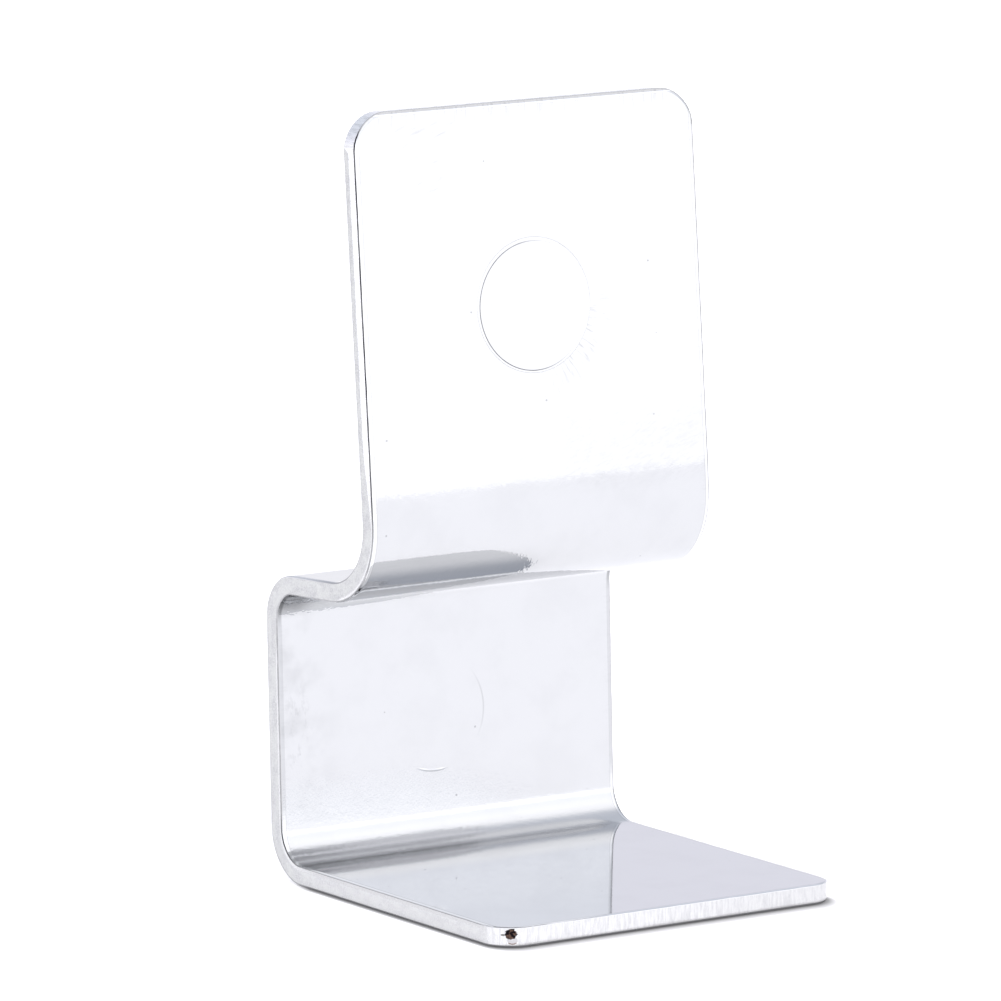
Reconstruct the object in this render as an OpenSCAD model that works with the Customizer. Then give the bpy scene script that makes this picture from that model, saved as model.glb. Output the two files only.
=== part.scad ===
// Headphone hook: one strip of sheet steel with three bends, and a disc pressed flush
// into its tall plate.
//
// From the front edge the strip runs back as a base plate, turns up into a web, turns
// forward into a short step, and turns up again into the tall plate that faces the user.
// The base, the web and the step form a C-shaped gap that slips over the edge of a board.
//
// +Z is up, the front faces -Y and X runs across the strip. The origin is at the centre
// of the footprint, on the surface that the base plate rests on.

/* [Strip] */
// Width of the strip, the same from end to end
strip_w = 30; // [22:0.5:45]
// Thickness of the sheet
sheet_t = 1.5; // [1:0.1:2.5]
// How far each face of a bend lies inside the flat faces, as bent metal thins
bend_thinning = 0.01; // [0.01:0.01:0.05]

/* [Base plate] */
// Depth of the base plate, from its front edge to the outside of the first bend
base_d = 30.6; // [20:0.1:50]
// Radius of the two front corners, seen from above
base_corner_r = 2.2; // [0.5:0.1:6]
// Inside radius of the bend between the base plate and the web
base_bend_r = 2.5; // [1:0.1:4]

/* [Web] */
// Height of the web over the outsides of its two bends, along its slope
web_h = 23.2; // [18:0.1:40]
// Angle that the web leans back from upright
web_lean = 2; // [0:0.5:6]

/* [Step] */
// Length of the step, from the outside of the web to the back of the tall plate
step_d = 13.5; // [12:0.1:20]
// Angle that the step climbs towards the front
step_rise = 3.5; // [0:0.5:6]
// Inside radius of the bend between the web and the step
step_bend_r = 2; // [1:0.1:3]

/* [Tall plate] */
// Height of the tall plate above the step, along its slope
plate_h = 34.5; // [24:0.1:60]
// Angle that the tall plate leans back from upright
plate_lean = 5; // [0:0.5:8]
// Radius of the two top corners, seen from the front
plate_corner_r = 2.7; // [0.5:0.1:6]
// Inside radius of the bend between the step and the tall plate
plate_bend_r = 4.5; // [2:0.1:5]

/* [Disc] */
// Diameter of the bore that holds the disc
disc_bore_d = 10; // [5:0.5:14]
// Press fit: how much larger the disc is than its bore, on the diameter
disc_press = 0.02; // [0:0.01:0.05]
// Chamfer around both faces of the disc
disc_chamfer = 0.15; // [0:0.05:0.4]
// Height of the disc's centre above the lower end of the tall plate's flat face
disc_up = 14.9; // [8:0.1:20]

/* [Hidden] */

$fn = 96;

// Cutters run this far past the faces that they cut
cut_past = 1;

// Flat stretches run this far into the bends at their ends, which joins them
lap = 0.05;

// Bend angles, from the slopes of the plates on either side of each bend
base_bend_a = 90 - web_lean;
step_bend_a = 90 + web_lean - step_rise;
plate_bend_a = 90 - step_rise + plate_lean;

// Flat lengths between the bends
base_flat = base_d - base_bend_r - sheet_t;
web_flat = web_h - base_bend_r - step_bend_r - 2 * sheet_t;
step_flat = step_d - step_bend_r - sheet_t - plate_bend_r;
plate_flat = plate_h - plate_bend_r;

// How far the leaning web's upper bend stands out behind the lower one
web_overhang = web_flat * sin(web_lean) - (base_bend_r - step_bend_r) * (1 - cos(web_lean));

// The front edge of the base plate, which puts the origin at the footprint's centre
front_y = -(base_d + web_overhang) / 2;

// A flat stretch of the strip between two bends: it runs along +Y from the local origin
module flat(length) {
    translate([-strip_w / 2, -lap, 0])
        cube([strip_w, length + 2 * lap, sheet_t]);
}

// An outline for an end of the strip: it runs along +Y from the local origin, with both
// of its far corners rounded
module rounded_end_outline(length, corner_r) {
    corner_x = strip_w / 2 - corner_r;
    translate([-strip_w / 2, -lap])
        square([strip_w, length - corner_r + lap]);
    translate([-corner_x, -lap])
        square([2 * corner_x, length + lap]);
    for (side = [-1, 1])
        translate([side * corner_x, length - corner_r])
            circle(r = corner_r);
}

module rounded_end(length, corner_r) {
    linear_extrude(sheet_t)
        rounded_end_outline(length, corner_r);
}

// A bend about its own Z axis: it starts on +X and turns towards +Y
module bend(angle, inside_r) {
    rotate_extrude(angle = angle)
        translate([inside_r + bend_thinning, bend_thinning - strip_w / 2])
            square([sheet_t - 2 * bend_thinning, strip_w - 2 * bend_thinning]);
}

// A bend that starts at the local origin, runs along +Y and turns up
module bend_up(angle, inside_r) {
    translate([0, 0, sheet_t + inside_r])
        rotate([0, 90, 0])
            bend(angle, inside_r);
}

// A bend that starts at the local origin, runs along +Y and turns down
module bend_down(angle, inside_r) {
    translate([0, 0, -inside_r])
        rotate([0, -90, 0])
            bend(angle, inside_r);
}

// These three place their children at the far end of a flat stretch or a bend, so that
// the strip can be followed from one stretch to the next
module past_flat(length) {
    translate([0, length, 0])
        children();
}

module past_bend_up(angle, inside_r) {
    translate([0, 0, sheet_t + inside_r])
        rotate([angle, 0, 0])
            translate([0, 0, -sheet_t - inside_r])
                children();
}

module past_bend_down(angle, inside_r) {
    translate([0, 0, -inside_r])
        rotate([-angle, 0, 0])
            translate([0, 0, inside_r])
                children();
}

// Places that the strip passes through, in order from the front edge
module at_base_bend() {
    translate([0, front_y, 0])
        past_flat(base_flat)
            children();
}

module at_web() {
    at_base_bend()
        past_bend_up(base_bend_a, base_bend_r)
            children();
}

module at_step_bend() {
    at_web()
        past_flat(web_flat)
            children();
}

module at_step() {
    at_step_bend()
        past_bend_up(step_bend_a, step_bend_r)
            children();
}

module at_plate_bend() {
    at_step()
        past_flat(step_flat)
            children();
}

module at_plate() {
    at_plate_bend()
        past_bend_down(plate_bend_a, plate_bend_r)
            children();
}

module at_disc() {
    at_plate()
        translate([0, disc_up, 0])
            children();
}

// The base plate is a rounded end that points forward, so it is turned about Z
module base_plate() {
    at_base_bend()
        rotate([0, 0, 180])
            rounded_end(base_flat, base_corner_r);
}

module strip() {
    base_plate();
    at_base_bend()
        bend_up(base_bend_a, base_bend_r);
    at_web()
        flat(web_flat);
    at_step_bend()
        bend_up(step_bend_a, step_bend_r);
    at_step()
        flat(step_flat);
    at_plate_bend()
        bend_down(plate_bend_a, plate_bend_r);
    at_plate()
        rounded_end(plate_flat, plate_corner_r);
}

// The bent strip, with the bore that takes the disc
module bracket() {
    color("gainsboro")
        difference() {
            strip();
            at_disc()
                translate([0, 0, -cut_past])
                    cylinder(d = disc_bore_d, h = sheet_t + 2 * cut_past);
        }
}

// The disc, as thick as the sheet, with a chamfer that leaves a fine seam around it
module disc() {
    rim_r = (disc_bore_d + disc_press) / 2;
    face_r = rim_r - disc_chamfer;
    color("whitesmoke")
        at_disc()
            rotate_extrude()
                polygon([
                    [0, 0],
                    [face_r, 0],
                    [rim_r, disc_chamfer],
                    [rim_r, sheet_t - disc_chamfer],
                    [face_r, sheet_t],
                    [0, sheet_t]
                ]);
}

bracket();
disc();
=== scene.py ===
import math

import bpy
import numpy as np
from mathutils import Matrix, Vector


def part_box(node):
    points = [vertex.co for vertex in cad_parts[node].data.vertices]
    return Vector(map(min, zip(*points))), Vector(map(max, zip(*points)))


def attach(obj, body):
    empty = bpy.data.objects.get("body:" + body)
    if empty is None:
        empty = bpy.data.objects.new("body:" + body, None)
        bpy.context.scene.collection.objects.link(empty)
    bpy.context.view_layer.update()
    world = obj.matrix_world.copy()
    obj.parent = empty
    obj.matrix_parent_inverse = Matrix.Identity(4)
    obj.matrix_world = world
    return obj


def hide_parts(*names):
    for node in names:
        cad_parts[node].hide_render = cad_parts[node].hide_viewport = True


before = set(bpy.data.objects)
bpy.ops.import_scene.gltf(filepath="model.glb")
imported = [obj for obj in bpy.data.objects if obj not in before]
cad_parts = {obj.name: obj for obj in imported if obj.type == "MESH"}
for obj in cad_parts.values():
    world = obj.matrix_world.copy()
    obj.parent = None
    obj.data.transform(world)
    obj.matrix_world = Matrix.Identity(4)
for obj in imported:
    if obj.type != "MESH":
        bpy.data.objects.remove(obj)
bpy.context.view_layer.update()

# Looks of the headphone hook: a bent, chrome-plated steel strip with a disc pressed flush
# into its tall plate.
#
# The strip is modelled as its flat pattern, with every edge, dent and polishing mark in
# place, and is then bent along the same path as the CAD bracket. All lengths that belong to
# the object are in millimetres until the meshes are made, which scales them to metres. The
# floor's size and the camera's place are in metres.

MM = 0.001

# ---- The bracket's design, as in the CAD model --------
BRACKET_LOW, BRACKET_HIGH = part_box("bracket")
STRIP_W = (BRACKET_HIGH.x - BRACKET_LOW.x) / MM
FRONT_Y = BRACKET_LOW.y / MM
SHEET_T = 1.5
BASE_FLAT = 26.6
WEB_FLAT = 15.7
STEP_FLAT = 5.5
PLATE_FLAT = 30.0
BASE_BEND = (88.0, 2.5)      # angle in degrees, inside radius
STEP_BEND = (88.5, 2.0)
PLATE_BEND = (91.5, 4.5)
BASE_CORNER_R = 2.2
PLATE_CORNER_R = 2.7
DISC_R = 5.0
DISC_UP = 14.9               # disc centre above the lower end of the plate's flat

# ---- Finish of the edges and the seam --------
EDGE_R = 0.38                # width of the roll-over around the front faces
ROLL = 0.07                  # how far the roll-over drops before the sharp corner
CORNER_R = 0.06              # rounding of that corner
BACK_EDGE_R = 0.11           # depth of the rounding around the back faces
BASE_EDGE_GROW = 0.8         # how much deeper that is around the base
BASE_ROLL_SHARE = 0.45       # how much of the drop there is around the base
SEAM_R = 0.012               # rounding of the bore's rim
DISC_RIM = 0.012             # rounding of the disc's rim
DISC_GAP = 0.004             # what shows between disc and bore
GROOVE_R = 4.76              # fine groove near the disc's rim
GROOVE_SHIFT = -0.06         # how far its centre lies from the disc's, along the strip
GROOVE_W = 0.07
GROOVE_DEPTH = 0.03
PIT = (-13.97, 0.34, 1.03)   # a pit in the plating of the base's corner: x, u, h
PIT_LOBE = (-14.42, 0.76, 0.95)
PIT_DENT = (0.30, 0.14)      # radius and depth of the dent under the pit
RING = (-1.2, 38.9, 4.4)     # a faint ring on the web: x, u, radius
SWIRL = (-9.0, 92.0)         # a patch of slanting strokes on the plate: x, u
SCUFFS = (-13.4, 39.0)       # scuffs on the web: x, u
STRIP_LIMIT = 1.01           # height where the cut edge's burnished strip begins on the web
CORNER_POWER = 1.75          # below 2 the rounded corners are flatter than an arc
FRONT_SEED, BACK_SEED = 1, 11
LONG_WAVE = 0.0012           # unevenness of the polished faces
SHORT_WAVE = 0.0002
BACK_WAVE = 0.0015           # keeps the unevenness of the back inside the sheet
BORE_FADE = (0.4, 1.5)       # distance around the disc without it, and the fade after that
ONSET_LEAN = 0.013           # slope by which the plate leans back just above its bend
ROLL_FROM = 1.25             # above this height an edge point belongs to the roll-over
EDGE_STREAKS = 0.010         # roughness of the cut edge
EDGE_STEPS = 0.014

# ---- Fineness of the meshes --------
COLUMN_STEP = 0.25           # spacing across the strip
ROW_STEP = 0.4               # and along its flats
BEND_STEP = 4.0              # degrees between rows in a bend
CORNER_STEPS = 9             # rows in each rounded corner of the outline
COLLAR_W = 1.8               # half width of the square around the disc, beyond its rim
COLLAR_RINGS = (*np.linspace(0, 1, 12)[1:-1], 0.985, 1)
RIM_HOLD = 0.012             # distance of the rings that keep the shading of a rim crisp
DISC_SIDES = 180
DISC_RINGS = 18


# ---- Noise --------
def hashed(ix, iy, seed):
    """A repeatable random number from -1 to 1 for each whole-number place."""
    v = np.sin(ix * 127.1 + iy * 311.7 + seed * 74.7) * 43758.5453
    return 2 * (v - np.floor(v)) - 1


def noise(x, y, seed):
    """Smooth value noise of wavelength 1."""
    ix, iy = np.floor(x), np.floor(y)
    fx, fy = x - ix, y - iy
    sx, sy = fx * fx * (3 - 2 * fx), fy * fy * (3 - 2 * fy)
    low = hashed(ix, iy, seed) * (1 - sx) + hashed(ix + 1, iy, seed) * sx
    high = hashed(ix, iy + 1, seed) * (1 - sx) + hashed(ix + 1, iy + 1, seed) * sx
    return low * (1 - sy) + high * sy


# ---- The path that the strip is bent along --------
def heading(phi):
    return np.array([math.cos(phi), math.sin(phi)])


def normal(phi):
    """Points from the strip's underside to its front face."""
    return np.array([-math.sin(phi), math.cos(phi)])


class Path:
    """The strip's side profile. u runs along the flat pattern from the front edge, and h
    goes through the sheet from its underside, at 0, to its front face, at SHEET_T."""

    def __init__(self):
        self.parts = []
        self.u = 0.0
        self.phi = 0.0
        self.at = np.array([FRONT_Y, 0.0])
        self.flat(BASE_FLAT)
        self.bend(*BASE_BEND, turn=1)
        self.flat(WEB_FLAT)
        self.bend(*STEP_BEND, turn=1)
        self.flat(STEP_FLAT)
        self.bend(*PLATE_BEND, turn=-1)
        self.flat(PLATE_FLAT)

    def flat(self, length):
        self.parts.append(("flat", self.u, self.u + length, self.phi, self.at, 0.0))
        self.at = self.at + heading(self.phi) * length
        self.u += length

    def bend(self, degrees, inside_r, turn):
        angle = math.radians(degrees)
        length = angle * (inside_r + SHEET_T / 2)
        radius = inside_r + SHEET_T if turn > 0 else inside_r
        centre = self.at + normal(self.phi) * radius * turn
        kind = "up" if turn > 0 else "down"
        self.parts.append((kind, self.u, self.u + length, self.phi, centre, inside_r))
        self.phi += angle * turn
        self.at = centre - normal(self.phi) * radius * turn
        self.u += length

    def place(self, u, h):
        """The Y and Z of points at u, h."""
        y, z = np.zeros_like(u), np.zeros_like(u)
        last = len(self.parts) - 1
        for i, (kind, u0, u1, phi, at, inside_r) in enumerate(self.parts):
            here = (u >= u0 if i else u > -np.inf) & (u < u1 if i < last else u < np.inf)
            along, high = u[here] - u0, h[here]
            if kind == "flat":
                y[here] = at[0] + along * math.cos(phi) - high * math.sin(phi)
                z[here] = at[1] + along * math.sin(phi) + high * math.cos(phi)
                continue
            turned = along / (inside_r + SHEET_T / 2)
            if kind == "up":
                angle, radius = phi + turned, high - SHEET_T - inside_r
            else:
                angle, radius = phi - turned, high + inside_r
            y[here] = at[0] - radius * np.sin(angle)
            z[here] = at[1] + radius * np.cos(angle)
        return y, z


PATH = Path()
PLATE_START = PATH.parts[-1][1]
STRIP_LENGTH = PATH.u
DISC_U = PLATE_START + DISC_UP
WEB_START = PATH.parts[2][1]
WEB_END = PATH.parts[2][2]
STEP_END = PATH.parts[4][2]


# ---- Meshes --------
class Builder:
    """Collects points in the flat pattern, faces and material numbers."""

    def __init__(self):
        self.points = []
        self.faces = []
        self.materials = []
        self.count = 0

    def add(self, x, u, h):
        """Adds points, and returns their numbers in the same shape as x."""
        x, u, h = np.broadcast_arrays(x, u, h)
        self.points.append(np.stack([x, u, h], -1).reshape(-1, 3).astype(float))
        numbers = self.count + np.arange(x.size).reshape(x.shape)
        self.count += x.size
        return numbers

    def grid(self, ids, material=0, flip=False, keep=None):
        """Quads between the rows and columns of ids."""
        a, b = ids[:-1, :-1], ids[1:, :-1]
        c, d = ids[1:, 1:], ids[:-1, 1:]
        quads = np.stack([a, d, c, b] if not flip else [a, b, c, d], -1)
        quads = quads[keep] if keep is not None else quads.reshape(-1, 4)
        self.faces.append(quads)
        self.materials.append(np.full(len(quads), material))

    def mesh(self, name, materials):
        flat = np.concatenate(self.points)
        y, z = PATH.place(flat[:, 1], flat[:, 2])
        verts = np.stack([flat[:, 0], y, z], -1) * MM
        faces = np.concatenate(self.faces)
        mesh = bpy.data.meshes.new(name)
        mesh.vertices.add(len(verts))
        mesh.vertices.foreach_set("co", verts.ravel())
        mesh.loops.add(faces.size)
        mesh.loops.foreach_set("vertex_index", faces.ravel())
        mesh.polygons.add(len(faces))
        mesh.polygons.foreach_set("loop_start", np.arange(len(faces)) * 4)
        mesh.polygons.foreach_set("material_index", np.concatenate(self.materials))
        mesh.update(calc_edges=True)
        mesh.validate()
        place = mesh.attributes.new("flat", "FLOAT_VECTOR", "POINT")
        place.data.foreach_set("vector", flat.ravel())
        mesh.polygons.foreach_set("use_smooth", np.ones(len(faces), bool))
        for material in materials:
            mesh.materials.append(material)
        piece = bpy.data.objects.new(name, mesh)
        bpy.context.scene.collection.objects.link(piece)
        return piece


def spaced(start, end, step):
    """Evenly spaced values from start to end, no further apart than step."""
    return np.linspace(start, end, max(2, int(math.ceil((end - start) / step)) + 1))


def rows_along_strip():
    """The u of each row of the mesh. Rows crowd together in the rounded corners."""
    corner = np.radians(np.linspace(0, 90, CORNER_STEPS + 1))
    base_r, plate_r = BASE_CORNER_R - EDGE_R, PLATE_CORNER_R - EDGE_R
    rows = [EDGE_R + base_r * (1 - np.cos(corner))]
    for kind, u0, u1, _, _, inside_r in PATH.parts:
        if kind == "flat":
            low = max(u0, BASE_CORNER_R)
            high = min(u1, STRIP_LENGTH - PLATE_CORNER_R)
            rows.append(spaced(low, high, ROW_STEP))
        else:
            step = math.radians(BEND_STEP) * (inside_r + SHEET_T / 2)
            rows.append(spaced(u0, u1, step))
    rows.append(STRIP_LENGTH - EDGE_R - plate_r * (1 - np.cos(corner[::-1])))
    u = np.concatenate(rows)
    return u[np.concatenate([[True], np.diff(u) > 1e-6])]


def corner_shape(u):
    """Half width of the inset outline at u, and the outward direction of its side."""
    half = np.full_like(u, STRIP_W / 2 - EDGE_R)
    out_x, out_u = np.ones_like(u), np.zeros_like(u)
    ends = (
        (u, BASE_CORNER_R - EDGE_R, -1),
        (STRIP_LENGTH - u, PLATE_CORNER_R - EDGE_R, 1),
    )
    for from_end, radius, way in ends:
        inside = from_end - EDGE_R
        near = inside < radius
        back = (radius - inside[near]) / radius
        across = np.clip(1 - back**CORNER_POWER, 0, 1) ** (1 / CORNER_POWER)
        half[near] = STRIP_W / 2 - EDGE_R - radius + radius * across
        slope_x, slope_u = across ** (CORNER_POWER - 1), back ** (CORNER_POWER - 1)
        out_x[near] = slope_x / np.hypot(slope_x, slope_u)
        out_u[near] = way * slope_u / np.hypot(slope_x, slope_u)
    return half, out_x, out_u


def sheet_wave(x, u, seed):
    """Slight unevenness of a polished, plated face, as a height."""
    long_wave = LONG_WAVE * noise(x / 9 + 3, u / 11, seed)
    short_wave = SHORT_WAVE * noise(x / 2.6, u / 3.4, seed + 1)
    return long_wave + short_wave


def bend_onset(u):
    """The plate's face starts to lean back a little before its bend begins."""
    up = np.linspace(-4, 4, 161)
    lean = ONSET_LEAN * np.clip((3.2 - up) / 1.8, 0, 1)
    lean = np.where(up < -0.5, ONSET_LEAN - ONSET_LEAN * np.clip(-0.5 - up, 0, 2.2), lean)
    drop = np.cumsum(lean[::-1])[::-1] * (up[1] - up[0])
    drop = drop - drop[-1]
    low = drop[0]
    drop = np.where(up < -1.5, drop - low * np.clip((-1.5 - up) / 2.5, 0, 1) ** 2, drop)
    return -np.interp(u - PLATE_START, up, drop, left=0, right=0)


def edge_fade(x, u, half):
    """1 over the middle of a face and 0 at its outline, so that a height stays closed."""
    side = np.clip((half - np.abs(x)) / 0.8, 0, 1)
    end = np.clip(np.minimum(u, STRIP_LENGTH - u) / 1.2, 0, 1)
    return side * end


def face_level(side, x, u, fade=1.0):
    """Height of the front or the back face. It is quite flat around the bore."""
    clear, width = BORE_FADE
    fade = fade * np.clip((np.hypot(x, u - DISC_U) - DISC_R - clear) / width, 0, 1)
    if side == "front":
        return SHEET_T + fade * sheet_wave(x, u, FRONT_SEED)
    return fade * (BACK_WAVE + sheet_wave(x, u, BACK_SEED))


def build_faces(builder, rows, columns):
    """Both wide faces of the strip, each with a square hole where the disc's collar goes.
    Returns their point numbers and the block of rows and columns left out."""
    half, _, _ = corner_shape(rows)
    x = half[:, None] * columns[None, :]
    u = np.repeat(rows[:, None], len(columns), 1)
    reach = DISC_R + COLLAR_W
    row_in = np.flatnonzero(np.abs(rows - DISC_U) < reach)
    column_in = np.flatnonzero(np.abs(columns * half[row_in[0]]) < reach)
    block = (row_in[0], row_in[-1], column_in[0], column_in[-1])
    keep = np.ones((len(rows) - 1, len(columns) - 1), bool)
    keep[block[0]:block[1], block[2]:block[3]] = False
    fade = edge_fade(x, u, half[:, None])
    front = builder.add(x, u, face_level("front", x, u, fade) + bend_onset(u))
    back = builder.add(x, u, face_level("back", x, u, fade))
    builder.grid(front, keep=keep)
    builder.grid(back, flip=True, keep=keep)
    return front, back, block


def loop_of(ids, low_row, high_row, low_column, high_column):
    """The numbers around a block of a grid, as one closed loop."""
    return np.concatenate([
        ids[low_row, low_column:high_column],
        ids[low_row:high_row, high_column],
        ids[high_row, high_column:low_column:-1],
        ids[high_row:low_row:-1, low_column],
    ])


def bore_profile():
    """Radius and height of the rings down the bore's wall, from its front rim to its back
    rim, both slightly rounded."""
    radius = DISC_R + DISC_GAP
    rim = []
    for turn in np.radians([30, 60, 90]):
        rim.append((radius + SEAM_R * (1 - math.sin(turn)), SEAM_R * (1 - math.cos(turn))))
    front = [(r, SHEET_T - down) for r, down in rim]
    return front + [(radius, SHEET_T / 2)] + rim[::-1]


def build_collar(builder, front, back, block):
    """Rings from the square hole in each face to the round bore, and the bore's wall."""
    points = np.concatenate(builder.points)
    outer = loop_of(front, *block)
    from_x, from_u = points[outer, 0], points[outer, 1]
    angle = np.arctan2(from_u - DISC_U, from_x)
    rim = DISC_R + DISC_GAP + SEAM_R
    rings = {}
    for side, ids in (("front", front), ("back", back)):
        rings[side] = [loop_of(ids, *block)]
        for step in COLLAR_RINGS:
            eased = 1 - (1 - step) ** 1.35
            x = from_x + (rim * np.cos(angle) - from_x) * eased
            u = from_u + (DISC_U + rim * np.sin(angle) - from_u) * eased
            rings[side].append(builder.add(x, u, face_level(side, x, u)))
    stack = rings["front"]
    for radius, high in bore_profile():
        stack.append(builder.add(radius * np.cos(angle), DISC_U + radius * np.sin(angle), high))
    stack += rings["back"][::-1]
    ids = np.stack([np.append(ring, ring[0]) for ring in stack])
    builder.grid(ids)


def edge_profile():
    """Points from the front face's inset edge to the back's: how far out, how high, and
    the number of the material from there on. The roll-over is 0, the cut edge is 1 and
    the dark lines at its two corners are 2."""
    roll_end = EDGE_R - CORNER_R
    points = [(roll_end * t, SHEET_T - ROLL * t**2.2, 0) for t in (0.25, 0.5, 0.75)]
    points.append((roll_end - 0.02, SHEET_T - ROLL, 2))
    for turn in np.radians([30, 60, 90]):
        points.append((roll_end + CORNER_R * math.sin(turn),
                       SHEET_T - ROLL - CORNER_R * (1 - math.cos(turn)), 2))
    points.append((EDGE_R, SHEET_T - ROLL - 1.6 * CORNER_R, 1))
    points += [(EDGE_R, h, 1) for h in np.linspace(1.2, BACK_EDGE_R, 5)[:-1]]
    for turn in np.radians([0, 30, 60]):
        points.append((EDGE_R - BACK_EDGE_R * (1 - math.cos(turn)),
                       BACK_EDGE_R * (1 - math.sin(turn)), 2))
    return points


def pit_depth(x, u, h):
    """The dent under the pit in the plating, as a depth."""
    radius, depth = PIT_DENT
    away = ((x - PIT[0]) ** 2 + (u - PIT[1]) ** 2) / radius**2 + ((h - PIT[2]) / radius) ** 2
    return depth * np.exp(-away)


def outward(rows, columns):
    """The outward direction at every point around the outline, in the order of loop_of."""
    _, out_x, out_u = corner_shape(rows)
    grid_x = np.zeros((len(rows), len(columns)))
    grid_u = np.zeros_like(grid_x)
    grid_u[0], grid_u[-1] = -1, 1
    grid_x[1:-1, -1], grid_u[1:-1, -1] = out_x[1:-1], out_u[1:-1]
    grid_x[1:-1, 0], grid_u[1:-1, 0] = -out_x[1:-1], out_u[1:-1]
    whole = (0, len(rows) - 1, 0, len(columns) - 1)
    return loop_of(grid_x, *whole), loop_of(grid_u, *whole)


def build_edge(builder, rows, columns, front, back):
    """The cut edge around the strip, from the roll-over to the back's rounding. Streaks and
    steps roughen its middle, and the corner line wanders a little."""
    whole = (0, len(rows) - 1, 0, len(columns) - 1)
    loop = loop_of(front, *whole)
    nx, nu = outward(rows, columns)
    points = np.concatenate(builder.points)[loop]
    x, u = points[:, 0], points[:, 1]
    zero = np.zeros_like(x)
    wander = 0.008 * noise((x + u) / 0.8, zero, 23) + 0.006 * noise((x + u) / 2.7, zero, 24)
    front_fit = bend_onset(u)
    on_base = np.clip((WEB_START - u) / 2.5, 0, 1)
    stack = [loop]
    materials = [0]
    for out, high, material in edge_profile():
        depth = (SHEET_T - high) / SHEET_T
        rough = math.sin(math.pi * depth) ** 0.7
        if high > ROLL_FROM:
            high = SHEET_T - (SHEET_T - high) * (1 - (1 - BASE_ROLL_SHARE) * on_base)
        elif high <= BACK_EDGE_R:
            grow = 1 + BASE_EDGE_GROW * on_base
            high, out = high * grow, EDGE_R - (EDGE_R - out) * grow
        streaks = noise((x + u) / 0.42, zero + depth * 1.3, 21)
        steps = noise((x - u) / 1.9, zero + depth * 2.0, 22)
        d = out + rough * (EDGE_STREAKS * (streaks - 1) + EDGE_STEPS * (steps - 1))
        d = d - abs(wander) * np.clip(out / EDGE_R, 0, 1)
        d = d - pit_depth(x + nx * out, u + nu * out, high)
        level = high + front_fit * (high / SHEET_T) + (wander if 0.03 < depth < 0.16 else 0)
        stack.append(builder.add(x + nx * d, u + nu * d, np.clip(level, 0, SHEET_T)))
        materials.append(material)
    stack.append(loop_of(back, *whole))
    ids = np.stack([np.append(ring, ring[0]) for ring in stack])
    for i, material in enumerate(materials):
        builder.grid(ids[i:i + 2], material=material, flip=True)


def build_bracket(materials):
    builder = Builder()
    rows = rows_along_strip()
    columns = np.linspace(-1, 1, int(round(STRIP_W / COLUMN_STEP)) + 1)
    front, back, block = build_faces(builder, rows, columns)
    build_collar(builder, front, back, block)
    build_edge(builder, rows, columns, front, back)
    return builder.mesh("bracket_plated", materials)


def disc_profile():
    """Radius, height, groove share and material number, from the front centre around."""
    inner, outer = GROOVE_R - GROOVE_W / 2, GROOVE_R + GROOVE_W / 2
    rim = []
    for turn in np.radians([0, 45, 90]):
        rim.append((DISC_R - DISC_RIM * (1 - math.sin(turn)), DISC_RIM * (1 - math.cos(turn))))
    points = [(r, SHEET_T, 0, 0) for r in np.linspace(0.3, GROOVE_R - GROOVE_W, DISC_RINGS)]
    points += [
        (inner - RIM_HOLD, SHEET_T, 0, 0),
        (inner, SHEET_T, 0, 1),
        (GROOVE_R - GROOVE_W / 4, SHEET_T, 0.8, 1),
        (GROOVE_R + GROOVE_W / 4, SHEET_T, 0.8, 1),
        (outer, SHEET_T, 0, 0),
        (outer + RIM_HOLD, SHEET_T, 0, 0),
        (DISC_R - DISC_RIM - RIM_HOLD, SHEET_T, 0, 0),
    ]
    points += [(r, SHEET_T - down, 0, 0) for r, down in rim]
    points.append((DISC_R, SHEET_T / 2, 0, 0))
    points += [(r, down, 0, 0) for r, down in rim[:0:-1]]
    points += [(r, 0.0, 0, 0) for r in np.linspace(DISC_R - DISC_RIM, 0.3, DISC_RINGS)]
    return points


def build_disc(materials):
    """The disc, turned about its axis. Its groove is deepest on the left and low down."""
    builder = Builder()
    angle = np.radians(np.linspace(0, 360, DISC_SIDES + 1))[:-1]
    open_side = 0.5 + 0.5 * np.cos(angle - math.radians(195))
    share = 0.02 + 0.98 * open_side**1.5
    rings, kinds = [], []
    for r, high, groove, kind in disc_profile():
        shift = GROOVE_SHIFT * (1 if high > 1 and r < GROOVE_R + GROOVE_W else 0)
        x, u = r * np.cos(angle), DISC_U + shift + r * np.sin(angle)
        level = high - GROOVE_DEPTH * groove * (share if kind else 1)
        rings.append(builder.add(x, u, level))
        kinds.append(kind)
    ids = np.stack([np.append(ring, ring[0]) for ring in rings])
    for i, kind in enumerate(kinds[:-1]):
        builder.grid(ids[i:i + 2], material=kind, flip=True)
    for ring, way in ((rings[0], 1), (rings[-1], -1)):
        high = SHEET_T if way > 0 else 0.0
        centre = builder.add(np.zeros(1), np.array([DISC_U + (way > 0) * GROOVE_SHIFT]), high)
        fan = np.stack([
            np.full(len(ring) // 2, centre[0]),
            ring[0::2], ring[1::2], np.roll(ring, -2)[0::2],
        ], -1)
        builder.faces.append(fan if way > 0 else fan[:, ::-1])
        builder.materials.append(np.zeros(len(fan), int))
    return builder.mesh("disc_plated", materials)


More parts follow.
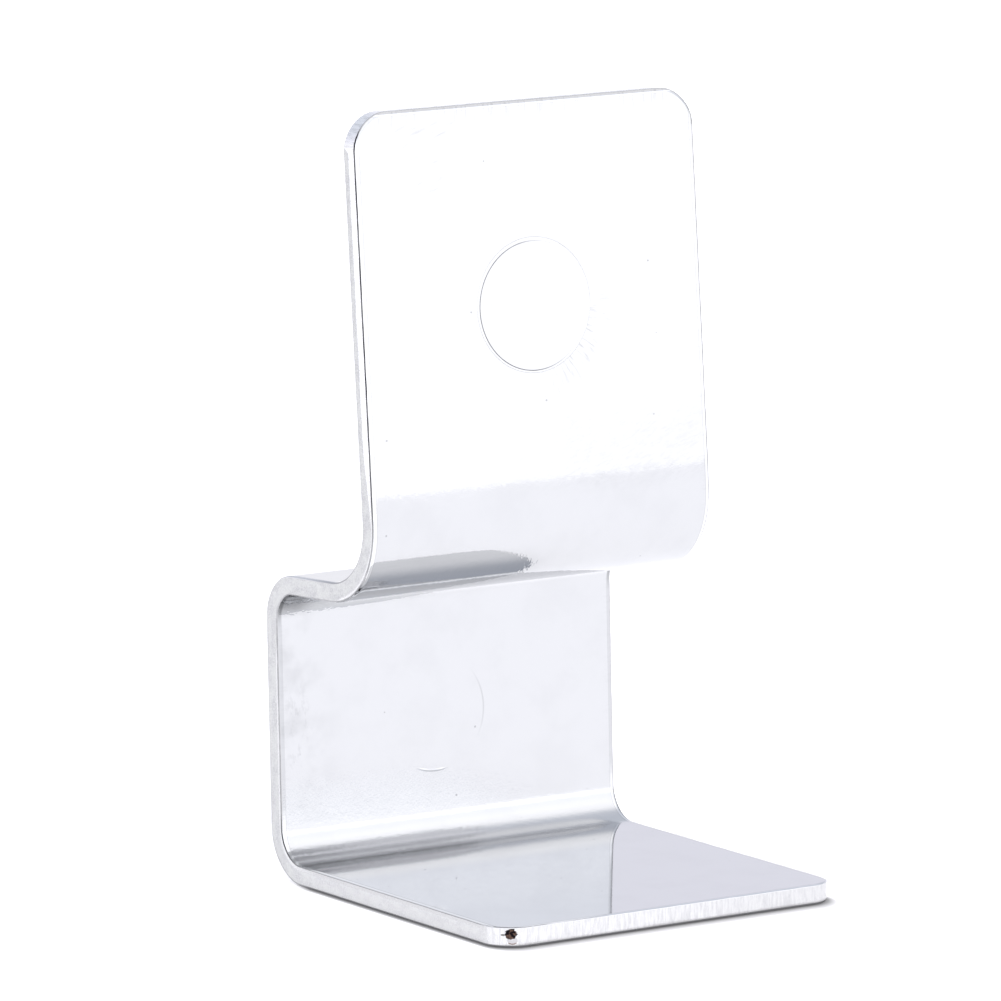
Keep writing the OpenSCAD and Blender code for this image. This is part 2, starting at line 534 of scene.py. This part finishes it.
# ---- Materials --------
class Nodes:
    """Short ways to add nodes to a material or a world."""

    def __init__(self, owner, shader="Principled BSDF"):
        owner.use_nodes = True
        self.owner = owner
        self.tree = owner.node_tree
        self.shader = self.tree.nodes[shader]

    def put(self, socket, value):
        """Sets a socket to a number or a colour, or links it to another socket."""
        if isinstance(value, bpy.types.NodeSocket):
            self.tree.links.new(value, socket)
        else:
            socket.default_value = value

    def math(self, operation, a, b=0.0, c=0.0, clamp=False):
        node = self.tree.nodes.new("ShaderNodeMath")
        node.operation = operation
        node.use_clamp = clamp
        for socket, value in zip(node.inputs, (a, b, c)):
            self.put(socket, value)
        return node.outputs[0]

    def product(self, first, *others):
        """All the values multiplied."""
        for other in others:
            first = self.math("MULTIPLY", first, other)
        return first

    def total(self, *parts, start=0.0, clamp=False):
        """The sum of the parts, each of which is a value and its weight, and a start."""
        for value, weight in parts:
            start = self.math("MULTIPLY_ADD", value, weight, start, clamp=clamp)
        return start

    def length(self, a, b):
        """The length of a vector with the parts a and b."""
        square = self.math("ADD", self.math("POWER", a, 2.0), self.math("POWER", b, 2.0))
        return self.math("SQRT", square)

    def turned(self, vector, degrees):
        """The vector, turned about its third axis."""
        node = self.tree.nodes.new("ShaderNodeVectorRotate")
        self.put(node.inputs["Vector"], vector)
        node.inputs["Angle"].default_value = math.radians(degrees)
        return node.outputs[0]

    def split(self, vector):
        """The three parts of a vector."""
        node = self.tree.nodes.new("ShaderNodeSeparateXYZ")
        self.put(node.inputs[0], vector)
        return node.outputs

    def scaled(self, vector, scale, shift=(0, 0, 0)):
        node = self.tree.nodes.new("ShaderNodeVectorMath")
        node.operation = "MULTIPLY_ADD"
        self.put(node.inputs[0], vector)
        node.inputs[1].default_value = scale
        node.inputs[2].default_value = shift
        return node.outputs[0]

    def noise(self, vector, detail=2.0, roughness=0.5):
        node = self.tree.nodes.new("ShaderNodeTexNoise")
        self.put(node.inputs["Vector"], vector)
        node.inputs["Scale"].default_value = 1.0
        node.inputs["Detail"].default_value = detail
        node.inputs["Roughness"].default_value = roughness
        return node.outputs["Fac"]

    def ramp(self, value, low, high, out_low=0.0, out_high=1.0, smooth=True):
        """Maps low..high to out_low..out_high and stays inside them."""
        node = self.tree.nodes.new("ShaderNodeMapRange")
        node.interpolation_type = "SMOOTHSTEP" if smooth else "LINEAR"
        for socket, number in zip(node.inputs, (value, low, high, out_low, out_high)):
            self.put(socket, number)
        return node.outputs[0]

    def window(self, value, rise_from, rise_to, fall_from, fall_to):
        """Rises from 0 to 1 over the first range and falls back over the second."""
        rise = self.ramp(value, rise_from, rise_to)
        return self.product(rise, self.ramp(value, fall_from, fall_to, 1.0, 0.0))

    def mix(self, factor, a, b):
        node = self.tree.nodes.new("ShaderNodeMix")
        node.data_type = "RGBA"
        self.put(node.inputs["Factor"], factor)
        self.put(node.inputs["A"], a)
        self.put(node.inputs["B"], b)
        return node.outputs["Result"]

    def flat_place(self):
        """The flat pattern's x, u, h in millimetres, as a vector and as three numbers."""
        node = self.tree.nodes.new("ShaderNodeAttribute")
        node.attribute_name = "flat"
        return node.outputs["Vector"], *self.split(node.outputs["Vector"])

    def metal(self, tone, roughness, height):
        """Finishes a metal. The height is its relief in millimetres."""
        self.put(self.shader.inputs["Base Color"], tone)
        self.shader.inputs["Metallic"].default_value = 1.0
        self.put(self.shader.inputs["Roughness"], roughness)
        node = self.tree.nodes.new("ShaderNodeBump")
        node.inputs["Strength"].default_value = 1.0
        node.inputs["Distance"].default_value = MM
        self.put(node.inputs["Height"], height)
        self.put(self.shader.inputs["Normal"], node.outputs[0])
        return self.owner

    def band(self, value, centre, width):
        """1 at the centre value, falling smoothly to 0 at a distance of width."""
        away = self.math("ABSOLUTE", self.math("SUBTRACT", value, centre))
        return self.ramp(away, 0.0, width, 1.0, 0.0)

    def distance(self, x, u, centre_x, centre_u):
        """Distance from a centre in the flat pattern."""
        across = self.math("SUBTRACT", x, centre_x)
        return self.length(across, self.math("SUBTRACT", u, centre_u))

    def specks(self, place, scale, size, share):
        """Small round marks, on about the given share of random cells."""
        node = self.tree.nodes.new("ShaderNodeTexVoronoi")
        node.inputs["Scale"].default_value = 1.0
        self.put(node.inputs["Vector"], self.scaled(place, (scale, scale, 3.0)))
        chosen = self.math("LESS_THAN", self.split(node.outputs["Color"])[0], share)
        dot = self.ramp(node.outputs["Distance"], size * 0.5, size, 1.0, 0.0)
        return self.math("MULTIPLY", chosen, dot)


def steel(level, blue=0.005):
    """A grey with slightly more blue, as plated steel has."""
    return (level, level, level + blue, 1)


CHROME = (0.635, 0.64, 0.65, 1)
STAIN_AND_SHADE = steel(0.05)          # specks, scratches and other dark marks on the plating, and the painted shade inside the upper bend


class Face:
    """The nodes of the strip's faces, with what their marks depend on: the place in the flat
    pattern, the side of the sheet, the distances to the edges and the part of the strip."""

    def __init__(self, kit):
        self.kit = kit
        self.place, self.x, self.u, h = kit.flat_place()
        self.tilted = kit.turned(self.place, -20)
        self.front = kit.math("GREATER_THAN", h, SHEET_T / 2)
        self.side = kit.math("SUBTRACT", STRIP_W / 2, kit.math("ABSOLUTE", self.x))
        self.top = kit.math("SUBTRACT", STRIP_LENGTH, self.u)
        end = kit.math("MINIMUM", self.top, self.u)
        self.outline = kit.math("MINIMUM", self.side, end)
        self.on_base = kit.ramp(self.u, BASE_FLAT - 2.0, BASE_FLAT + 2.0, 1.0, 0.0)
        self.on_web = kit.window(self.u, WEB_START, WEB_START + 2.0, WEB_END, WEB_END + 2.0)
        self.on_step = kit.window(self.u, WEB_END - 1.0, WEB_END + 1.0, STEP_END, STEP_END + 2.0)


def strokes(kit, x, u, along_scale, across_scale, seed):
    """Fine parallel buffing strokes, long in u."""
    join = kit.tree.nodes.new("ShaderNodeCombineXYZ")
    kit.put(join.inputs[0], kit.math("MULTIPLY", x, across_scale))
    kit.put(join.inputs[1], kit.math("MULTIPLY", u, along_scale))
    join.inputs[2].default_value = seed
    return kit.noise(join.outputs[0])


def edge_strokes(face):
    """Short buffing strokes that run out over the plate's top edge and the side edges."""
    kit = face.kit
    top = kit.ramp(strokes(kit, face.x, face.u, 0.5, 5.0, 1.0), 0.5, 0.72)
    top = kit.product(top, kit.ramp(face.top, 0.4, 2.0, 1.0, 0.0), 0.55)
    side = kit.ramp(strokes(kit, face.u, face.x, 0.6, 4.0, 2.0), 0.5, 0.72)
    side = kit.product(side, kit.ramp(face.side, 0.3, 1.0, 0.6, 0.0), 0.35)
    return kit.math("MAXIMUM", top, side)


def disc_strokes(face):
    """Buffing strokes that fan out from the disc's rim, on its lower right."""
    kit = face.kit
    turn = kit.math("ARCTAN2", kit.math("SUBTRACT", face.u, DISC_U), face.x)
    out = kit.distance(face.x, face.u, 0.0, DISC_U)
    fan = kit.ramp(strokes(kit, turn, out, 0.7, 26.0, 3.0), 0.5, 0.7)
    fan = kit.product(fan, kit.band(turn, -0.65, 1.15), kit.ramp(out, 5.1, 7.8, 1.0, 0.0))
    return kit.product(fan, kit.math("GREATER_THAN", out, DISC_R), 1.2)


def swirl_strokes(face):
    """A patch of slanting strokes in the plate's upper left corner."""
    kit = face.kit
    pattern = kit.noise(kit.scaled(face.tilted, (0.45, 3.2, 1), (3, 1, 0)))
    away = kit.distance(face.x, face.u, *SWIRL)
    return kit.product(kit.ramp(pattern, 0.56, 0.75), kit.ramp(away, 1.5, 5.0, 0.7, 0.0))


def back_rubs(face):
    """Patches of rub marks along the strip, on its back."""
    kit = face.kit
    rubs = kit.noise(kit.scaled(face.place, (2.6, 0.35, 0), (6, 1, 4)))
    where = kit.noise(kit.scaled(face.place, (0.16, 0.16, 0), (1, 7, 2)), 1.0)
    rubs = kit.product(kit.ramp(rubs, 0.54, 0.74), kit.ramp(where, 0.48, 0.62))
    return kit.product(rubs, kit.math("SUBTRACT", 1.0, face.front), 0.6)


def polishing_marks(face):
    """All the strokes and rub marks together."""
    kit = face.kit
    on_front = kit.math("MAXIMUM", disc_strokes(face), swirl_strokes(face))
    on_front = kit.product(on_front, face.front)
    on_faces = kit.math("MAXIMUM", on_front, back_rubs(face))
    return kit.math("MAXIMUM", edge_strokes(face), on_faces)


def hatched_patch(face):
    """A darker, hatched patch low on the plate, strongest towards its right."""
    kit = face.kit
    upward = kit.window(face.u, PLATE_START, PLATE_START + 2.4,
                        PLATE_START + 3.0, PLATE_START + 10.0)
    hatch = kit.noise(kit.scaled(face.tilted, (1.6, 5.0, 1), (9, 4, 0)))
    hatch = kit.ramp(hatch, 0.35, 0.75, 0.25, 1.0)
    return kit.product(upward, kit.ramp(face.x, -6.0, 6.0), hatch, face.front)


def face_specks(face):
    """Specks all over, and grit along the left of the base."""
    kit = face.kit
    left = kit.ramp(face.x, -14.6, -12.2, 1.0, 0.0)
    grit = kit.specks(face.place, 1.7, 0.15, 0.35)
    grit = kit.product(grit, face.front, face.on_base, left, 0.6)
    return kit.math("MAXIMUM", kit.specks(face.place, 0.5, 0.055, 0.45), grit)


def ring_arcs(face):
    """What shows of the ring on the web: one arc on its right and one low down."""
    kit = face.kit
    x, u, radius = RING
    away = kit.math("SUBTRACT", kit.distance(face.x, face.u, x, u), radius)
    turn = kit.math("ARCTAN2", kit.math("SUBTRACT", face.u, u), kit.math("SUBTRACT", face.x, x))
    shown = kit.math("ADD", kit.band(turn, 0.08, 0.75), kit.band(turn, -1.65, 0.42))
    return kit.product(kit.band(away, 0.0, 0.11), shown, face.front)


def scuffs(face):
    """Scuffs on the web's left, inside an oval that is long in u."""
    kit = face.kit
    pattern = kit.noise(kit.scaled(face.place, (1.6, 0.7, 0), (3, 3, 0)), 3.0, 0.7)
    away = kit.distance(face.x, kit.product(face.u, 0.4), SCUFFS[0], 0.4 * SCUFFS[1])
    where = kit.ramp(away, 0.6, 1.9, 1.0, 0.0)
    return kit.product(kit.ramp(pattern, 0.5, 0.66), where, face.front)


def bend_softness(face):
    """Where the plating is less like a mirror: in the lower bend and inside the upper one,
    most of all on the front."""
    kit = face.kit
    low = kit.window(face.u, BASE_FLAT - 1.2, BASE_FLAT + 0.6, WEB_START + 2.0, WEB_START + 5.5)
    high = kit.product(kit.band(face.u, WEB_END + 2.0, 3.2), 0.5)
    share = kit.math("MULTIPLY_ADD", face.front, 0.8, 0.2)
    return kit.product(kit.math("MAXIMUM", low, high), share)


def darkening_and_painted_shade(face, smudges):
    """Darkening that belongs to one place: the roll-over at the top edge, painted shade inside
    the upper bend that stands in for a dark reflection, and the blotched left of the web."""
    kit = face.kit
    top_roll = kit.product(kit.ramp(face.top, 0.20, 0.27, 1.0, 0.0), face.front)
    left = kit.ramp(face.x, -13.6, -11.6, 1.0, 0.0)
    # painted shade: a dark patch on the left inside the upper bend, standing in for a dark
    # reflection
    bend_shade = kit.product(kit.band(face.u, WEB_END + 1.8, 2.0), left, face.front)
    left = kit.ramp(face.x, -14.8, -9.0, 1.0, 0.0)
    web_left = kit.product(face.on_web, left, smudges, face.front)
    return kit.total((top_roll, 0.42), (bend_shade, 0.4), (web_left, 0.12))


def plating_tone_and_highlight(face):
    """Clean chrome, darker on the roll-over, with a painted highlight inside the upper bend."""
    kit = face.kit
    roll = kit.mix(face.on_web, (0.78, 0.785, 0.79, 1), (0.56, 0.565, 0.575, 1))
    roll = kit.mix(face.on_step, roll, (0.36, 0.365, 0.37, 1))
    rolled = kit.ramp(face.outline, EDGE_R - 0.06, EDGE_R - 0.01, 1.0, 0.0)
    tone = kit.mix(rolled, CHROME, roll)
    # painted highlight: a lighter band in the colour inside the upper bend, standing in for a
    # bright reflection
    inner = kit.window(face.u, WEB_END + 0.6, WEB_END + 1.7, WEB_END + 2.4, WEB_END + 3.4)
    flat = kit.math("GREATER_THAN", face.outline, EDGE_R)
    inner = kit.product(inner, kit.ramp(face.x, -12.0, -8.5), flat, face.front)
    return kit.mix(inner, tone, steel(0.88, 0.01))


def face_relief(face, soft, peel):
    """The height of the orange peel and, inside the upper bend, of the burrs."""
    kit = face.kit
    plate_bend = kit.window(face.u, WEB_END + 6.0, WEB_END + 8.0,
                            PLATE_START - 4.0, PLATE_START - 2.0)
    peel_height = kit.total((plate_bend, 0.006), (soft, 0.010), start=0.0009)
    fine = kit.noise(kit.scaled(face.place, (6.0, 6.0, 6.0)), 1.0)
    left = kit.ramp(face.x, -11.5, -7.5, 1.0, 0.12)
    burr = kit.product(kit.band(face.u, WEB_END + 1.0, 2.2), left)
    coarse = kit.noise(kit.scaled(face.place, (1.1, 1.5, 1), (5, 5, 0)), 2.0, 0.6)
    return kit.total((peel, peel_height), (fine, kit.product(soft, 0.002)),
                     (kit.product(burr, coarse), 0.05))


def face_chrome_material():
    """Polished chrome plate: mirror-like, with buffing strokes near the edges and the disc,
    orange peel in the bends, a few specks and rub marks, and painted light and shade in the upper
    bend."""
    kit = Nodes(bpy.data.materials.new("face_chrome"))
    face = Face(kit)
    marks = polishing_marks(face)
    specks = face_specks(face)
    ring = ring_arcs(face)
    scuffed = scuffs(face)
    soft = bend_softness(face)
    smudges = kit.noise(kit.scaled(face.place, (0.25, 0.25, 2.0), (2, 8, 0)), 3.0, 0.6)
    smudges = kit.ramp(smudges, 0.42, 0.7)
    peel = kit.noise(kit.scaled(face.place, (2.4, 2.4, 2.4)), 2.0, 0.6)

    roll_line = kit.band(face.outline, EDGE_R, 0.06)
    roll_share = kit.math("MULTIPLY_ADD", face.on_base, 0.35, 0.14)
    dark = kit.total((marks, 0.2), (specks, 0.35), (ring, 0.2), (smudges, 0.03),
                     (hatched_patch(face), 0.075), (scuffed, 0.10), (darkening_and_painted_shade(face, smudges), 1.0),
                     (roll_line, roll_share), clamp=True)
    tone = kit.mix(dark, plating_tone_and_highlight(face), STAIN_AND_SHADE)
    blur = kit.total((soft, 0.13), (marks, 0.08), (kit.ramp(peel, 0.3, 0.7), 0.015), start=0.035)
    height = kit.total((scuffed, 0.006), (ring, 0.02), (specks, -0.005), (marks, -0.0006),
                       start=face_relief(face, soft, peel))
    return kit.metal(tone, blur, height)


def disc_chrome_material():
    """The disc's plate: the same polish, with a few specks."""
    kit = Nodes(bpy.data.materials.new("disc_chrome"))
    place = kit.flat_place()[0]
    specks = kit.specks(place, 0.6, 0.05, 0.3)
    rubbed = kit.noise(kit.scaled(place, (0.35, 2.2, 2.5), (1, 5, 0)))
    rubbed = kit.ramp(rubbed, 0.52, 0.72, 0.0, 0.05)
    dark = kit.total((specks, 0.35), start=rubbed, clamp=True)
    tone = kit.mix(dark, (0.64, 0.645, 0.655, 1), STAIN_AND_SHADE)
    peel = kit.noise(kit.scaled(place, (2.4, 2.4, 2.4)), 2.0, 0.6)
    height = kit.total((peel, 0.001), (specks, -0.01))
    return kit.metal(tone, kit.ramp(peel, 0.3, 0.7, 0.035, 0.06), height)


def oval(kit, x, u, h, centre, wide, high):
    """Distance from a centre, in units of an oval's half width and half height."""
    away = kit.math("DIVIDE", kit.distance(x, u, centre[0], centre[1]), wide)
    level = kit.math("DIVIDE", kit.math("SUBTRACT", h, centre[2]), high)
    return kit.length(away, level)


def pit_masks(kit, place, x, u, h):
    """The pit in the plating: a black ragged hole and a lobe beside it, and below them a painted
    lump: a painted highlight with a painted shade arc under it.
    """
    ragged = kit.noise(kit.scaled(place, (4.5, 4.5, 5.5)))
    ragged = kit.math("MULTIPLY_ADD", ragged, 0.8, -0.42)
    hole = kit.math("ADD", oval(kit, x, u, h, PIT, 0.46, 0.44), ragged)
    lobe = kit.math("ADD", oval(kit, x, u, h, PIT_LOBE, 0.20, 0.09), ragged)
    lump_centre = (PIT[0] + 0.10, PIT[1] - 0.02, PIT[2] - 0.47)
    lump = oval(kit, x, u, h, lump_centre, 0.40, 0.28)
    under = kit.product(kit.band(lump, 0.95, 0.22), kit.ramp(h, 0.34, 0.44, 1.0, 0.0))
    inside = kit.noise(kit.scaled(place, (5, 5, 5), (2, 2, 2)), 1.0)
    black = kit.mix(kit.ramp(inside, 0.45, 0.6), (0.008, 0.006, 0.008, 1), (0.10, 0.065, 0.05, 1))
    return (
        # painted highlight: the pale lump is only drawn into the colour
        (kit.ramp(lump, 0.85, 1.1, 0.8, 0.0), (0.46, 0.45, 0.46, 1)),
        # painted shade: the dark, brownish arc under the painted lump
        (kit.ramp(under, 0.2, 0.8), (0.20, 0.13, 0.10, 1)),
        (kit.ramp(lobe, 0.8, 1.0, 0.85, 0.0), (0.08, 0.08, 0.07, 1)),
        (kit.ramp(hole, 0.9, 1.02, 1.0, 0.0), black),
    )


def burnished_strip(kit, u, h, streaks, plate, ends, plate_end):
    """1 on the cut edge's bright strip, by the front face. Its lower limit wanders with the
    streaks, and lies lower around the plate and at both ends of the strip."""
    on_step = kit.window(u, WEB_END - 3.0, WEB_END, STEP_END - 1.0, STEP_END + 1.5)
    limit = kit.total((plate, -0.56), (ends, -1.2), (plate_end, -1.2), (streaks, 0.35),
                      (on_step, 0.5), start=STRIP_LIMIT)
    return kit.ramp(kit.math("SUBTRACT", h, limit), -0.06, 0.06)


def fracture_tone(kit, place, grain, on_base):
    """The matte, grainy and slightly blotched part of the cut edge."""
    tone = kit.mix(kit.ramp(grain, 0.3, 0.7), steel(0.46), steel(0.68, 0.0))
    blotch = kit.noise(kit.scaled(place, (0.8, 0.8, 1.6), (8, 3, 1)))
    tone = kit.mix(kit.ramp(blotch, 0.35, 0.65, 0.0, 0.4), tone, (0.72, 0.73, 0.70, 1))
    return kit.mix(kit.product(on_base, 0.3), tone, steel(0.80, 0.01))


def burnished_tone(kit, x, streaks, on_base, ends, on_plate):
    """The bright part of the cut edge: duller along the base's sides and towards its right,
    and lighter around the plate."""
    tone = kit.mix(kit.ramp(streaks, 0.32, 0.64), steel(0.63, 0.01), steel(0.76, 0.0))
    beside_base = kit.product(on_base, kit.math("SUBTRACT", 1.0, ends))
    tone = kit.mix(beside_base, tone, steel(0.56))
    to_right = kit.product(kit.ramp(x, -8.0, 14.0, 0.0, 0.35), on_base)
    tone = kit.mix(to_right, tone, steel(0.50))
    plate_tone = kit.mix(kit.ramp(streaks, 0.36, 0.6), steel(0.76, 0.01), steel(0.94, 0.01))
    return kit.mix(on_plate, tone, plate_tone)


def cut_edge_material():
    """The sheared edge: a bright burnished strip by the front face, and a grainy, matte
    fracture below it, both streaked across the thickness."""
    kit = Nodes(bpy.data.materials.new("cut_edge"))
    place, x, u, h = kit.flat_place()
    streaks = kit.noise(kit.scaled(place, (5.0, 5.0, 0.8)), 3.0, 0.65)
    grain = kit.noise(kit.scaled(place, (13.0, 13.0, 9.0)), 3.0, 0.7)
    plate = kit.ramp(u, PLATE_START - 1.0, PLATE_START + 6.0)
    to_end = kit.math("MINIMUM", u, kit.math("SUBTRACT", STRIP_LENGTH, u))
    ends = kit.ramp(to_end, 1.5, 2.6, 1.0, 0.0)
    plate_end = kit.ramp(u, STRIP_LENGTH - 3.0, STRIP_LENGTH - 2.0)
    on_base = kit.ramp(u, BASE_FLAT - 3.0, BASE_FLAT + 3.0, 1.0, 0.0)
    on_plate = kit.math("MAXIMUM", plate, plate_end)

    bright = burnished_strip(kit, u, h, streaks, plate, ends, plate_end)
    tone = kit.mix(bright, fracture_tone(kit, place, grain, on_base),
                   burnished_tone(kit, x, streaks, on_base, ends, on_plate))
    for mask, colour in pit_masks(kit, place, x, u, h):
        tone = kit.mix(mask, tone, colour)
    blur = kit.total((bright, -0.22), (kit.ramp(grain, 0.3, 0.7), 0.08), start=0.42)
    grain_height = kit.math("MULTIPLY_ADD", bright, -0.009, 0.013)
    return kit.metal(tone, blur, kit.total((grain, grain_height), (streaks, 0.02)))


def corner_tone(kit, u, h, patches):
    """The tone of the corner lines around web, step and plate."""
    on_plate = kit.ramp(u, PLATE_START - 2.0, PLATE_START + 3.0)
    deep = kit.mix(on_plate, steel(0.33), steel(0.035))
    pale = kit.mix(on_plate, steel(0.48), steel(0.16))
    tone = kit.mix(kit.ramp(patches, 0.4, 0.66), deep, pale)
    tone = kit.mix(kit.band(u, WEB_START - 1.5, 4.0), tone, STAIN_AND_SHADE)
    tone = kit.mix(kit.ramp(u, STRIP_LENGTH - 1.8, STRIP_LENGTH - 0.8), tone, steel(0.46))
    step_middle = kit.band(u, (WEB_END + STEP_END) / 2, 8.0)
    back_corner = kit.mix(step_middle, steel(0.36, 0.01), steel(0.72, 0.01))
    return kit.mix(kit.ramp(h, 0.4, 0.8), back_corner, tone)


def dark_line_material():
    """The corners between faces and cut edge: darkest around the plate and at the foot of the
    web, and light along the base's front. Along the base's bottom it is a painted contact shadow."""
    kit = Nodes(bpy.data.materials.new("dark_line"))
    place, _, u, h = kit.flat_place()
    patches = kit.noise(kit.scaled(place, (0.5, 0.5, 0.5), (4, 9, 1)), 3.0, 0.6)
    base_upper = kit.mix(kit.ramp(u, 2.0, 3.0), steel(0.80, 0.01), steel(0.40, 0.01))
    # painted contact shadow: the base's lower corner line is dark where the base meets the floor
    base_tone = kit.mix(kit.ramp(h, 0.4, 0.8), steel(0.36, 0.01), base_upper)
    on_base = kit.ramp(u, BASE_FLAT - 3.0, BASE_FLAT + 1.0, 1.0, 0.0)
    tone = kit.mix(on_base, corner_tone(kit, u, h, patches), base_tone)
    blur = kit.ramp(patches, 0.3, 0.7, 0.25, 0.4)
    return kit.metal(tone, blur, kit.product(patches, 0.01))


def seam_material():
    """The disc's fine groove: dark on the left and low down, and nearly closed on the
    right."""
    kit = Nodes(bpy.data.materials.new("seam"))
    place, x, u, _ = kit.flat_place()
    turn = kit.math("ARCTAN2", kit.math("SUBTRACT", u, DISC_U), x)
    facing = kit.math("COSINE", kit.math("SUBTRACT", turn, math.radians(192)))
    closed = kit.ramp(facing, -0.55, 0.25, 1.0, 0.0)
    patches = kit.noise(kit.scaled(place, (1.2, 1.2, 1.2)))
    dark_tone = kit.mix(patches, steel(0.10), steel(0.34, 0.01))
    tone = kit.mix(closed, dark_tone, (0.62, 0.625, 0.635, 1))
    grain = kit.noise(kit.scaled(place, (5, 5, 5)))
    return kit.metal(tone, kit.ramp(closed, 0.0, 1.0, 0.3, 0.08), kit.product(grain, 0.003))


# ---- Stage, light and camera --------
FLOOR_REACH = 1.8            # metres to the sides and behind
FLOOR_FRONT = 0.65           # metres in front
FLOOR_DROP = 0.03 * MM       # keeps the floor clear of the base's underside
FLOOR_GLOW = 0.42            # emission, which washes out the cast contact shadow
SHADE_BACK = 11.4            # how far behind the origin the base leaves the floor, in mm
SHADE_REACH = (0.5, 1.6)     # how far the contact shade goes beside and before the base
SHADE_DEEPEST = 0.3


def contact_shade(kit):
    """A painted contact shadow: darkest where the floor meets the base, and rising to 1
    within two millimetres."""
    where = kit.tree.nodes.new("ShaderNodeNewGeometry")
    position = kit.split(where.outputs["Position"])
    away = []
    for axis, low, high in ((0, -STRIP_W / 2, STRIP_W / 2), (1, FRONT_Y, SHADE_BACK)):
        place = kit.math("DIVIDE", position[axis], MM)
        place = kit.math("ABSOLUTE", kit.math("SUBTRACT", place, (high + low) / 2))
        past_corner = kit.math("SUBTRACT", place, (high - low) / 2 - BASE_CORNER_R)
        away.append(kit.math("MAXIMUM", past_corner, 0.0001))
    out = kit.math("SUBTRACT", kit.length(*away), BASE_CORNER_R)
    forward = kit.math("DIVIDE", away[1], kit.math("ADD", *away))
    share = kit.math("DIVIDE", out, kit.ramp(forward, 0.0, 1.0, *SHADE_REACH))
    return kit.ramp(share, 0.0, 1.0, SHADE_DEEPEST, 1.0, smooth=False)


def build_floor():
    mesh = bpy.data.meshes.new("floor")
    far, near = FLOOR_REACH, FLOOR_FRONT
    low = -FLOOR_DROP
    corners = [(-far, -near, low), (far, -near, low), (far, far, low), (-far, far, low)]
    mesh.from_pydata(corners, [], [(0, 1, 2, 3)])
    floor = bpy.data.objects.new("floor", mesh)
    bpy.context.scene.collection.objects.link(floor)
    kit = Nodes(bpy.data.materials.new("floor_white"))
    shade = contact_shade(kit)
    tone = kit.mix(shade, (0.05, 0.05, 0.05, 1), (0.92, 0.91, 0.91, 1))
    kit.put(kit.shader.inputs["Base Color"], tone)
    kit.shader.inputs["Roughness"].default_value = 1.0
    kit.shader.inputs["Specular IOR Level"].default_value = 0.0
    kit.shader.inputs["Emission Color"].default_value = (0.99, 0.98, 1.0, 1)
    kit.put(kit.shader.inputs["Emission Strength"], kit.product(shade, FLOOR_GLOW))
    mesh.materials.append(kit.owner)


TENT_STRENGTH = 2.0          # ramp colours end at 1, so the tent's are divided by this


def tint(value, green=1.0, blue=1.03):
    """A colour of the tent, from its red and the shares of green and blue."""
    red = value / TENT_STRENGTH
    return (red, red * green, red * blue, 1)


def height_ramp(kit, height, stops):
    """Colours by height, which goes from -1, straight down, to 1, straight up."""
    ramp = kit.tree.nodes.new("ShaderNodeValToRGB")
    elements = ramp.color_ramp.elements
    while len(elements) < len(stops):
        elements.new(0.5)
    for element, (at, colour) in zip(elements, stops):
        element.position = (at + 1) / 2
        element.color = colour
    kit.put(ramp.inputs[0], kit.ramp(height, -1.0, 1.0, smooth=False))
    return ramp.outputs[0]


def build_world():
    """A light tent: bright in front and above, cooler and darker high up behind, and
    dimmer far out on the right."""
    world = bpy.data.worlds.new("studio")
    bpy.context.scene.world = world
    kit = Nodes(world, "Background")
    coordinates = kit.tree.nodes.new("ShaderNodeTexCoord")
    x, y, z = kit.split(coordinates.outputs["Generated"])
    front = height_ramp(kit, z, [
        (-1.0, tint(1.64)), (0.02, tint(1.64)), (0.08, tint(1.95)),
        (0.17, tint(1.9, 1.01, 1.05)), (0.25, tint(1.45, 1.02, 1.1)),
        (0.60, tint(1.6)), (0.78, tint(1.45)), (1.0, tint(1.2)),
    ])
    back = height_ramp(kit, z, [
        (-1.0, tint(1.1)), (0.0, tint(1.08)), (0.22, tint(0.94, 1.0, 1.11)),
        (0.42, tint(0.72, 1.06, 1.18)), (0.8, tint(0.74, 1.05, 1.18)), (1.0, tint(1.1)),
    ])
    kit.put(kit.shader.inputs["Color"], kit.mix(kit.ramp(y, -0.35, 0.05), front, back))
    kit.put(kit.shader.inputs["Strength"], kit.ramp(x, 0.62, 0.95, TENT_STRENGTH, 1.3))


CAMERA_AZIMUTH = -34.1
CAMERA_ELEVATION = 9.75
CAMERA_DISTANCE = 0.7        # metres
CAMERA_LENS = 340            # millimetres, on a 36 mm sensor
LOOK_AT = Vector((0.00018, 0.00703, 0.02811))


def build_camera():
    camera = bpy.data.objects.new("camera", bpy.data.cameras.new("camera"))
    bpy.context.scene.collection.objects.link(camera)
    camera.data.sensor_width = 36
    camera.data.lens = CAMERA_LENS
    camera.data.clip_start = 0.01
    camera.data.clip_end = 20
    a, e = math.radians(CAMERA_AZIMUTH), math.radians(CAMERA_ELEVATION)
    back = Vector((math.sin(a) * math.cos(e), -math.cos(a) * math.cos(e), math.sin(e)))
    camera.location = LOOK_AT + back * CAMERA_DISTANCE
    camera.rotation_mode = "QUATERNION"
    camera.rotation_quaternion = (-back).to_track_quat("-Z", "Y")
    bpy.context.scene.camera = camera


# ---- The scene --------
bpy.context.scene.view_settings.view_transform = "Standard"
build_floor()
build_world()
build_camera()

bracket = build_bracket([face_chrome_material(), cut_edge_material(), dark_line_material()])
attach(bracket, "root")
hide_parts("bracket")

disc = build_disc([disc_chrome_material(), seam_material()])
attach(disc, "root")
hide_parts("disc")
